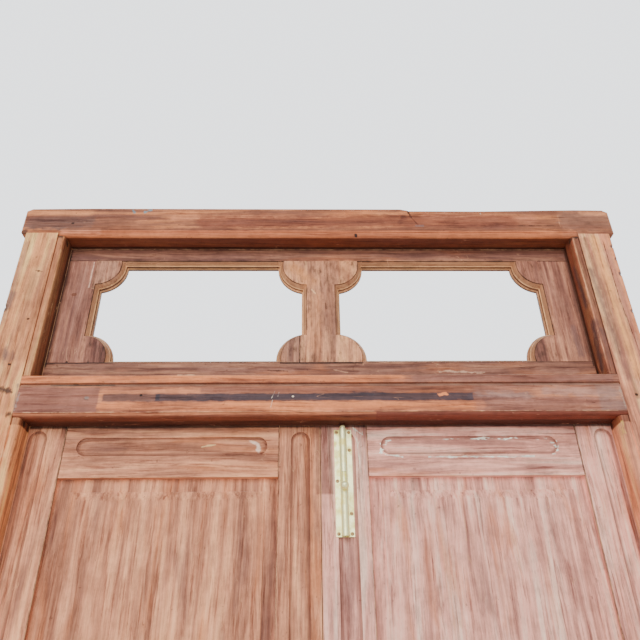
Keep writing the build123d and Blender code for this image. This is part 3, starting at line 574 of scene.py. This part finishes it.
# %% Transom rail
transom_marks = [
    ("stain", spot(-585, 427), spot(150, 427), 10, 6, 0.6, (210, 138, 86), 0.75),
    ("stain", spot(180, 428), spot(560, 429), 9, 6, 0.6, (146, 98, 90), 0.7),
    ("stain", spot(120, 433), spot(420, 434), 2.5, 2, 0.8, (176, 120, 100), 0.6),
    ("zone", spot(-585, 436.5, -2), spot(585, 445, 5), 0, 1.2, 1, (134, 82, 66), 0.7),
    ("hole", spot(-520, 440, 2), spot(-400, 440.5, 2), 1.8, 1.2, 0.9, (40, 26, 22), 0.95),
    ("stroke", spot(-400, 440, 3), spot(580, 440, 3), 0.8, 1.2, 2.2, (92, 54, 42), 0.45),
    ("zone", spot(-585, 446, -2), spot(-425, 497, 3), 0, 1.6, 3, (150, 98, 86), 0.85),
    ("zone", spot(-417, 459.5, -2), spot(-310, 476, 3), 0, 2.0, 5, (106, 74, 72), 0.85),
    ("zone", spot(-318, 459.8, -2), spot(288, 475.8, 3), 0, 1.6, 5, (60, 54, 66), 0.88),
    ("stain", spot(286, 468), spot(392, 468), 7.5, 4, 0.9, (104, 84, 92), 0.7),
    ("stain", spot(-415, 486), spot(300, 486), 9, 4, 0.4, (212, 142, 90), 0.75),
    ("stain", spot(-415, 452), spot(-240, 452), 6, 4, 0.5, (206, 142, 102), 0.7),
    ("stain", spot(-230, 452), spot(140, 452), 4, 4, 0.6, (150, 96, 84), 0.6),
    ("stroke", spot(-92, 456), spot(-98, 470), 0.4, 0.6, 2.0, (222, 208, 196), 0.6),
    ("stroke", spot(-96, 474), spot(-99, 488), 0.4, 0.6, 2.0, (222, 208, 196), 0.6),
    ("stroke", spot(-84, 458), spot(-86, 466), 0.3, 0.5, 2.0, (214, 200, 190), 0.5),
    ("stroke", spot(224, 464), spot(236, 461), 2.6, 1.2, 1.5, (222, 150, 92), 0.85),
    ("stain", spot(300, 460), spot(400, 468), 5, 6, 1.6, (204, 174, 162), 0.4),
    ("stain", spot(330, 480), spot(540, 478), 8, 6, 1.0, (188, 134, 116), 0.6),
    ("stain", spot(430, 456), spot(560, 462), 8, 6, 0.8, (182, 146, 138), 0.6),
    ("zone", spot(292, 446, -2), spot(585, 497, 3), 0, 9, 14, (158, 112, 102), 0.55),
    ("zone", spot(530, 446, -2), spot(585, 497, 3), 0, 6, 10, (156, 128, 122), 0.6),
    ("zone", spot(180, 417, -2), spot(585, 436, 4), 0, 7, 14, (150, 104, 94), 0.5),
    ("stroke", spot(575, 450), spot(577, 492), 1.0, 1.4, 3.0, (190, 166, 150), 0.55),
    ("stroke", spot(-575, 455), spot(-577, 492), 1.0, 1.4, 3.0, (170, 156, 148), 0.5),
    ("stroke", spot(-575, 499), spot(575, 499), 0.8, 0.8, 1.0, (84, 48, 38), 0.75),
    ("stroke", spot(-560, 497.2), spot(-300, 497.4), 0.3, 0.8, 5.0, (220, 186, 152), 0.6),
    ("stroke", spot(300, 497.2), spot(560, 497.4), 0.3, 0.8, 5.0, (216, 182, 152), 0.6),
    ("stroke", spot(-300, 497.2), spot(300, 497.4), 0.4, 0.7, 3.6, (214, 176, 140), 0.4),
    # Painted light and shade on the lower moulding: the orange band runs onto the round as a painted
    # highlight, the underside is painted dark red as shade, darkest in a painted shadow at its back.
    ("zone", spot(-585, 498.5, -2), spot(100, 502.5, 8), 0, 1.5, 2, (178, 108, 70), 0.7),
    ("zone", spot(-585, 502.5, 0), spot(585, 515, 46), 0, 2.0, 2, (122, 62, 44), 0.85),
    ("zone", spot(100, 499, -2), spot(585, 515, 46), 0, 2.0, 2, (126, 60, 46), 0.8),
    ("zone", spot(-585, 503, 22), spot(585, 515, 46), 0, 5.0, 3, (58, 32, 26), 0.8),
    ("hole", spot(-345.4, 462.8), spot(-345, 462.8), 2.4, 1, 0.4, (22, 18, 20), 0.95),
    ("stroke", spot(-448.2, 467.6), spot(-446, 467.6), 2.6, 1.2, 0.8, (140, 122, 116), 0.8),
    ("stroke", spot(-452, 470), spot(-444, 472), 1.2, 1, 1.0, (92, 72, 68), 0.7),
    ("stroke", spot(-57.6, 466.5), spot(-56.8, 466.5), 1.6, 0.8, 0.8, (226, 206, 190), 0.8),
    ("stroke", spot(60, 459), spot(120, 461), 2.2, 2, 2.0, (60, 54, 66), 0.7),
]
timber("transom_rail", "across", [(118, 66, 54), (172, 114, 88), (210, 150, 106)], transom_marks,
       name="transom_wood", seed=9.0, edge=(210, 166, 136), edge_width=0.002, dust=0.3, grime=0.22)
print("marks on the transom rail", len(transom_marks))

# %% [markdown]
# The fanlight is one sawn panel of many pieces. Its flat face is a mauve brown; the moulding
# round its two lights is gold, with a dark sunk line in front of it painted as shade, a painted
# highlight on its fillet, painted shade on the fillet's edge, and a dark inner edge. Since these
# lie one behind another, zones at different depths colour them. The joints between its pieces
# are drawn as dark lines; where the panel meets the frame it is darkened by painted shade, and
# the lower moulding, which faces up, is painted lighter as light falls on it.

# %% Fanlight
fan_face = (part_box("fanlight_left_stile")[0].y - front) * 1000

def on_fan(across, below):
    return spot(across, below, fan_face)

def moulding_colour_and_light(strength=1.0):
    # Bands by depth behind the fanlight face: the gold face, the dark quirk as painted shade, a painted
    # highlight on the fillet, painted shade on the fillet's edge, a lighter line and a dark inner edge.
    bands = [((1.2, 10.6), 1.2, (176, 128, 92), 0.85 * strength), ((0.2, 1.8), 0.35, (58, 36, 28), 0.92),
             ((9.8, 12.0), 0.6, (222, 184, 138), 0.7), ((12.4, 16.4), 0.8, (92, 60, 44), 0.88),
             ((16.8, 19.0), 0.6, (200, 158, 112), 0.7), ((19.4, 26.0), 0.8, (128, 88, 62), 0.85)]
    return [("zone", spot(-498, 108, fan_face + start), spot(498, 371, fan_face + end), 0, soft, 1.6,
             tint, amount) for (start, end), soft, tint, amount in bands]

joints_and_shade = [
    ("stroke", on_fan(-504.8, 117), on_fan(-505.4, 184), 1.2, 1.0, 1.2, (218, 190, 172), 0.75),
    ("stroke", on_fan(-570, 369.8), on_fan(-425, 369.8), 1.2, 0.8, 0.6, (46, 28, 26), 0.9),
    ("stroke", on_fan(425, 369.8), on_fan(570, 369.8), 1.0, 0.8, 1.0, (76, 48, 40), 0.75),
    ("stroke", on_fan(-84, 371.0), on_fan(84, 371.0), 1.5, 0.8, 0.5, (34, 22, 20), 0.95),
    ("stroke", on_fan(-570, 112.5), on_fan(-500, 112.5), 1.0, 0.8, 0.8, (84, 52, 46), 0.75),
    ("stroke", on_fan(494, 112.5), on_fan(570, 112.5), 1.1, 0.8, 0.8, (66, 40, 36), 0.85),
    ("stroke", on_fan(-45.3, 290), on_fan(-45.3, 370), 1.3, 0.7, 0.5, (48, 30, 26), 0.92),
    # Painted shade where the panel meets the frame, under the lintel and beside both jambs; the band above
    # the transom rail is partly painted shade, partly grime.
    ("zone", spot(-585, 70, fan_face - 2), spot(585, 83, fan_face + 3), 0, 1.4, 2, (38, 23, 21), 0.88),
    ("zone", spot(-585, 70, fan_face - 2), spot(-557.5, 380, fan_face + 3), 0, 1.6, 2, (50, 30, 27), 0.85),
    ("zone", spot(558, 70, fan_face - 2), spot(585, 380, fan_face + 3), 0, 1.6, 2, (58, 35, 31), 0.8),
    ("zone", spot(-585, 412, fan_face - 2), spot(585, 440, fan_face + 3), 0, 2.0, 3, (72, 43, 37), 0.7),
]
stile_marks = moulding_colour_and_light() + joints_and_shade + [
    ("stain", on_fan(-548, 120), on_fan(-546, 360), 4, 4, 0.7, (186, 136, 118), 0.7),
    ("stain", on_fan(-520, 130), on_fan(-518, 300), 5, 5, 0.7, (178, 132, 116), 0.6),
    # Painted shade on the stiles beside the jamb reveals.
    ("zone", spot(-585, 80, fan_face - 2), spot(-553, 380, fan_face + 3), 0, 5, 3, (96, 56, 46), 0.7),
    ("zone", spot(551, 80, fan_face - 2), spot(585, 380, fan_face + 3), 0, 5, 3, (110, 70, 58), 0.6),
    ("hole", on_fan(-535, 202.7), on_fan(-533, 202.7), 3.4, 1, 0.6, (122, 70, 50), 0.8),
    ("hole", on_fan(-518.6, 367.5), on_fan(-518, 367.5), 2.2, 1, 0.4, (44, 30, 26), 0.9),
    ("stain", on_fan(500, 150), on_fan(530, 240), 10, 9, 0.6, (176, 128, 108), 0.5),
    ("stain", on_fan(536, 290), on_fan(540, 350), 8, 6, 0.7, (122, 92, 92), 0.6),
]
mauve = [(114, 70, 62), (166, 114, 96), (202, 152, 122)]
for piece, seed in (("fanlight_left_stile", 12.0), ("fanlight_right_stile", 14.5)):
    timber(piece, "up", mauve, stile_marks, seed=seed, edge_width=0.001, dust=0.3, grime=0.3,
           warm=(190, 134, 108), line_depth=0.5)

rail_marks = moulding_colour_and_light() + joints_and_shade + [
    # Painted shade at the top of the rail, under the lintel.
    ("zone", spot(-585, 70, fan_face - 2), spot(585, 92, fan_face + 3), 0, 5, 3, (112, 66, 52), 0.75),
    ("stroke", on_fan(-560, 80.5), on_fan(560, 80.5), 0.7, 1.2, 3.0, (196, 158, 120), 0.35),
    ("stain", on_fan(-290, 398), on_fan(-240, 400), 1.6, 1, 1.2, (220, 186, 154), 0.8),
    ("stain", on_fan(-250, 386), on_fan(-60, 388), 5, 4, 0.8, (160, 114, 100), 0.6),
    ("stain", on_fan(80, 392), on_fan(520, 392), 5, 4, 0.8, (164, 118, 102), 0.6),
    ("stroke", on_fan(24, 386), on_fan(52, 393), 0.9, 1.2, 3.0, (206, 166, 138), 0.55),
    ("stroke", on_fan(240, 390), on_fan(330, 394), 1.4, 1.2, 2.4, (214, 186, 164), 0.6),
    ("stroke", on_fan(-110, 388), on_fan(-70, 390), 1.4, 1, 1.6, (70, 40, 34), 0.8),
    # Painted light: the lower moulding, which faces up, is painted lighter.
    ("zone", spot(-585, 361, fan_face + 2), spot(585, 369, fan_face + 30), 0, 1, 1, (176, 134, 106), 0.5),
]
for piece, seed in (("fanlight_top_rail", 17.0), ("fanlight_bottom_rail", 19.5)):
    timber(piece, "across", [(96, 58, 52), (142, 95, 80), (184, 136, 108)], rail_marks, seed=seed,
           edge_width=0.0012, dust=0.3, grime=0.3)

mullion_marks = moulding_colour_and_light(0.9) + joints_and_shade + [
    ("stain", on_fan(-60, 130), on_fan(-20, 170), 12, 14, 0.8, (206, 148, 94), 0.7),
    ("stain", on_fan(30, 120), on_fan(60, 160), 12, 12, 0.8, (156, 100, 76), 0.6),
    ("stain", on_fan(-10, 210), on_fan(-14, 330), 13, 10, 0.8, (214, 158, 114), 0.7),
    ("stain", on_fan(22, 180), on_fan(22, 280), 7, 6, 0.6, (132, 82, 68), 0.6),
    ("stain", on_fan(-80, 330), on_fan(-60, 350), 16, 10, 0.8, (184, 140, 108), 0.6),
    ("stain", on_fan(-18, 180), on_fan(-14, 300), 5, 4, 1.2, (206, 158, 120), 0.6),
    ("stain", on_fan(6, 160), on_fan(12, 280), 5, 6, 0.8, (140, 90, 76), 0.5),
    ("stain", on_fan(20, 320), on_fan(70, 350), 14, 10, 0.8, (206, 158, 124), 0.6),
    ("stain", on_fan(-46, 150), on_fan(-42, 168), 2, 2, 1.6, (120, 78, 58), 0.6),
    ("hole", on_fan(10, 226), on_fan(11, 240), 1.2, 1, 1.4, (92, 60, 48), 0.8),
    ("stroke", on_fan(-20, 190), on_fan(-12, 200), 1.2, 1, 2.0, (226, 190, 152), 0.6),
]
golden = [(150, 100, 78), (200, 150, 118), (228, 180, 138)]
timber("fanlight_mullion", "up", golden, mullion_marks, name="mullion_wood", seed=23.0, edge_width=0.001,
       dust=0.25, grime=0.3, rings_depth=0.1, line_depth=0.35, knocked=0.2)
block_marks = moulding_colour_and_light(0.9) + joints_and_shade + [
    ("stain", on_fan(-480, 130), on_fan(-460, 150), 12, 8, 0.6, (188, 140, 116), 0.5),
]
for piece, seed in (("fanlight_corner_block", 26.0), ("fanlight_mullion_block", 28.0)):
    timber(piece, "up", [(130, 88, 74), (176, 130, 108), (206, 160, 128)], block_marks, seed=seed,
           edge_width=0.001, dust=0.25, grime=0.25)
print("fanlight face lies", round(fan_face, 1), "mm behind the front")

# %% [markdown]
# The leaves stand back in the shadow of the frame and were never rubbed, so a dull pinkish dust
# lies over their red wood; a painted shadow darkens their tops under the transom rail. The right
# one was filled and painted once, and white remnants still cling to the sunk line of its field.

# %% Leaves
leaf_face = (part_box("left_top_rail")[0].y - front) * 1000
white, old_red = (240, 230, 214), (118, 72, 62)

def on_leaf(across, below):
    return spot(across, below, leaf_face)

# %% Marks on the leaves
def leaf_marks(sign):
    skin, sunk, deep = leaf_face - 2, leaf_face + 2, leaf_face + 4
    marks = [
        # Painted shadow across the tops of the leaves, under the transom rail.
        ("zone", spot(-700, 500, skin), spot(700, 511, deep), 0, 2.2, 3, (48, 28, 25), 0.88),
        ("zone", spot(-700, 400, sunk), spot(700, 2070, deep), 0, 0.8, 0, old_red, 0.6),
        ("stroke", on_leaf(sign * 84, 500), on_leaf(sign * 84, 2050), 1.1, 0.8, 0.6, (62, 36, 32), 0.85),
        ("stroke", on_leaf(sign * 490, 500), on_leaf(sign * 490, 2050), 1.4, 0.8, 0.4, (36, 22, 22), 0.92),
        ("zone", spot(-14, 500, skin), spot(18, 640, deep), 0, 3, 5, (126, 76, 64), 0.7)]
    if sign < 0:
        return marks + [
            # Painted highlight on the end wall of the left field, where light falls on it.
            ("stroke", on_leaf(-140, 535), on_leaf(-124, 545), 2.2, 2, 1.2, (224, 202, 188), 0.7),
            ("stroke", on_leaf(-124, 545), on_leaf(-122, 560), 2.6, 2, 1.2, (224, 202, 188), 0.7),
            ("stroke", on_leaf(-230, 548), on_leaf(-205, 544), 1.4, 1, 1.2, (236, 204, 160), 0.8)]
    filler = (((126, 536), (190, 534), 0.9), ((196, 534), (300, 534), 1.2), ((300, 534), (392, 533), 2.0),
              ((392, 534), (432, 535), 1.3), ((432, 535), (447, 545), 1.8), ((447, 545), (448, 559), 2.2),
              ((448, 559), (436, 568), 1.6), ((128, 536), (113, 545), 2.2), ((113, 545), (110, 560), 1.8),
              ((118, 566), (150, 571), 1.0), ((200, 570.5), (400, 571), 1.0))
    marks += [("stroke", on_leaf(*start), on_leaf(*end), radius, 1.0, 2.6, white, 0.92)
              for start, end, radius in filler]
    return marks + [
        ("stroke", on_leaf(62, 515), on_leaf(70, 600), 0.6, 0.8, 3.2, (230, 218, 206), 0.6),
        ("stroke", on_leaf(76, 520), on_leaf(62, 560), 0.5, 0.8, 3.2, (230, 218, 206), 0.6),
        ("stroke", on_leaf(58, 512), on_leaf(76, 526), 0.8, 0.8, 3.0, (234, 222, 210), 0.7),
        ("stain", on_leaf(300, 525), on_leaf(440, 524), 4, 4, 1.2, (222, 190, 178), 0.5)]

dusty = {-1: [(146, 94, 74), (200, 147, 116), (228, 178, 142)],
         1: [(178, 126, 114), (218, 172, 158), (236, 198, 184)]}
leaf_parts = (("hinge_stile", "up"), ("meeting_stile", "up"), ("top_rail", "across"), ("lock_rail", "across"),
              ("bottom_rail", "across"), ("upper_panel", "up"), ("lower_panel", "up"))
for sign, leaf in ((-1, "left"), (1, "right")):
    for number, (part, runs) in enumerate(leaf_parts):
        timber(leaf + "_" + part, runs, dusty[sign], leaf_marks(sign), seed=31 + 3.7 * number + 17 * sign,
               edge_width=0.0015, dust=0.3, grime=0.25, rough=0.6)
print("finished", sum(n.startswith(("left_", "right_")) for n in nodes), "pieces of the leaves and jambs")

# %% [markdown]
# The leaves do not touch where they meet, and seen from straight in front the sky would draw a
# bright line there. On the real door that joint reads dark; what closes it cannot be seen, and
# old polish and dust would be a guess, so a dark fill stands there as painted shade. It is
# modelled as a thin fillet on the edge of the right leaf, so it swings away with it: a cube is
# stretched in edit mode, because then the piece itself stays unscaled.

# %% Painted shade in the meeting joint
left_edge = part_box("left_meeting_stile")[1].x
low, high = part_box("right_meeting_stile")
room = low.x - left_edge
filled_share, set_back, end_inset = 0.7, 0.014, 0.002
shade_fill_low = Vector((low.x - filled_share * room, low.y + set_back, low.z + end_inset))
shade_fill_high = Vector((low.x, high.y - set_back, high.z - end_inset))
bpy.ops.object.select_all(action="DESELECT")
bpy.ops.mesh.primitive_cube_add(size=1.0, location=(0, 0, 0))
fillet = bpy.context.active_object
fillet.name = "joint_shade_fill"
bpy.ops.object.mode_set(mode="EDIT")
bpy.ops.mesh.select_all(action="SELECT")
bpy.ops.transform.resize(value=shade_fill_high - shade_fill_low)
bpy.ops.transform.translate(value=(shade_fill_low + shade_fill_high) / 2)
bpy.ops.object.mode_set(mode="OBJECT")
# A dark flecked paint for the fill: painted shade in the meeting joint.
shade_fill_paint = bpy.data.materials.new("joint_shade_paint")
shade_fill_paint.use_nodes = True
shade_fill_tree = shade_fill_paint.node_tree
shade_fill_surface = shade_fill_tree.nodes["Principled BSDF"]
speck = cloud(shade_fill_tree, add(shade_fill_tree, "ShaderNodeTexCoord").outputs["Object"], scale=400, detail=3)
shade_fill_colour = mixed(shade_fill_tree, speck, chart(40, 28, 26), chart(78, 56, 50))
shade_fill_tree.links.new(shade_fill_colour, shade_fill_surface.inputs["Base Color"])
shade_fill_surface.inputs["Roughness"].default_value = 0.9
fillet.data.materials.append(shade_fill_paint)
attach(fillet, "right_leaf")
print("joint", round(room * 1000, 2), "mm wide")

# %% [markdown]
# Threshold and pegs are guessed, so both stay plain. The threshold takes the tan timber of the
# jambs, with wider rubbed edges and more dust, since feet cross it. The pegs take a plain brown
# wood and carry no marks.

# %% Threshold and pegs
timber("threshold", "across", tan, seed=61.0, dust=0.45, grime=0.4, edge_width=0.005)
for piece in ("frame_pegs", "fanlight_pegs", "left_pegs", "right_pegs"):
    timber(piece, "across", [(120, 82, 62), (156, 112, 86), (176, 132, 104)], seed=67.0, dust=0.1, grime=0.2)

# %% [markdown]
# Brass on an outdoor bolt is bright where fingers and the rod polish it and brown in a thin
# film elsewhere. The nails are iron, blackened, with rust that comes in spots.

# %% Brass and iron
def old_metal(name, bright, dark, spots, rough, scale):
    finish = bpy.data.materials.new(name)
    finish.use_nodes = True
    tree = finish.node_tree
    surface = tree.nodes["Principled BSDF"]
    place = add(tree, "ShaderNodeTexCoord").outputs["Object"]
    film = eased(tree, cloud(tree, place, scale=scale, detail=6, rough=0.65), 0.42, 0.72)
    scratch = cloud(tree, vector_sum(tree, "MULTIPLY", place, (1400, 1400, 30)), detail=3, rough=0.6)
    colour = mixed(tree, film, chart(*bright), chart(*dark))
    colour = mixed(tree, scaled(tree, eased(tree, scratch, 0.55, 0.75), 0.35), colour, chart(*spots))
    tree.links.new(colour, surface.inputs["Base Color"])
    tree.links.new(sum_of(tree, "MULTIPLY_ADD", film, 0.25, rough), surface.inputs["Roughness"])
    tree.links.new(less(tree, 0.52, film, 0.2), surface.inputs["Metallic"])
    relief = add(tree, "ShaderNodeBump", {"Height": scratch, "Strength": 0.35, "Distance": 0.0002})
    tree.links.new(relief.outputs[0], surface.inputs["Normal"])
    return finish

brass = old_metal("bolt_brass", (255, 243, 188), (242, 214, 142), (255, 253, 234), 0.34, 60)
iron = old_metal("nail_iron", (96, 90, 86), (104, 66, 46), (150, 146, 142), 0.45, 300)
worn_brass = old_metal("screw_brass", (176, 146, 98), (110, 84, 56), (220, 196, 150), 0.35, 200)
for piece in ("bolt_plate", "bolt_rod"):
    give_finish(piece, brass)
give_finish("fanlight_nails", iron)
give_finish("bolt_screws", worn_brass)

# %% [markdown]
# The measured pieces have sharp arrises, and no old timber has. Three modifiers soften them
# without touching the mesh: Weld joins the loose triangles, Decimate merges those that lie in
# one plane, and Bevel rounds each real edge.

# %% Eased arrises
weld_reach, flat_within, edge_over = 0.00002, math.radians(1), math.radians(35)
fanlight_round, frame_round = 0.0006, 0.0009
for name, piece in nodes.items():
    if "nails" in name or "screws" in name or "bolt" in name:
        continue
    weld = piece.modifiers.new("weld", "WELD")
    weld.merge_threshold = weld_reach
    flat = piece.modifiers.new("flat", "DECIMATE")
    flat.decimate_type = "DISSOLVE"
    flat.angle_limit = flat_within
    round_off = piece.modifiers.new("round_off", "BEVEL")
    round_off.width = fanlight_round if name.startswith("fanlight") else frame_round
    round_off.segments = 2
    round_off.limit_method = "ANGLE"
    round_off.angle_limit = edge_over
print("eased", sum(bool(p.modifiers) for p in nodes.values()), "pieces")
